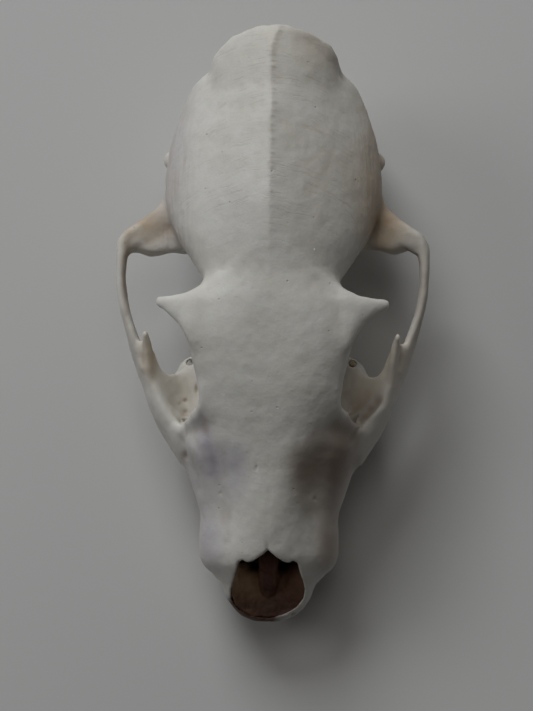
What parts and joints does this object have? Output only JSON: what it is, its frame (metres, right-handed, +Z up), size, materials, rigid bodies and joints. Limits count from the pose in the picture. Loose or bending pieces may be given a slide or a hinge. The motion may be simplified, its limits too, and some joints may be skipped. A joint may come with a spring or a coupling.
{
  "type": "mongoose skull",
  "caption": "Mongoose skull without its lower jaw: long braincase with a low crest, bowed cheek arches, blunt muzzle and upper teeth.",
  "frame": {"origin": "middle of the skull's length and width, on the surface that it rests on", "axes": "-Y towards the snout, +X towards the animal's left, +Z up"},
  "size_m": [0.0513, 0.0952, 0.036],
  "materials": {
    "bone": "dry bleached bone, matt with a faint sheen on raised parts",
    "enamel": "smooth ivory-coloured tooth enamel",
    "cartilage": "dried brown cartilage, leathery"
  },
  "bodies": {
    "root": {"cranium": "bone", "nasal_septum": "cartilage", "incisor_1_left": "enamel", "incisor_1_right": "enamel", "incisor_2_left": "enamel", "incisor_2_right": "enamel", "incisor_3_left": "enamel", "incisor_3_right": "enamel", "canine_left": "enamel", "canine_right": "enamel", "premolar_1_left": "enamel", "premolar_1_right": "enamel", "premolar_2_left": "enamel", "premolar_2_right": "enamel", "premolar_3_left": "enamel", "premolar_3_right": "enamel", "carnassial_left": "enamel", "carnassial_right": "enamel", "molar_1_left": "enamel", "molar_1_right": "enamel", "molar_2_left": "enamel"}
  },
  "joints": []
}
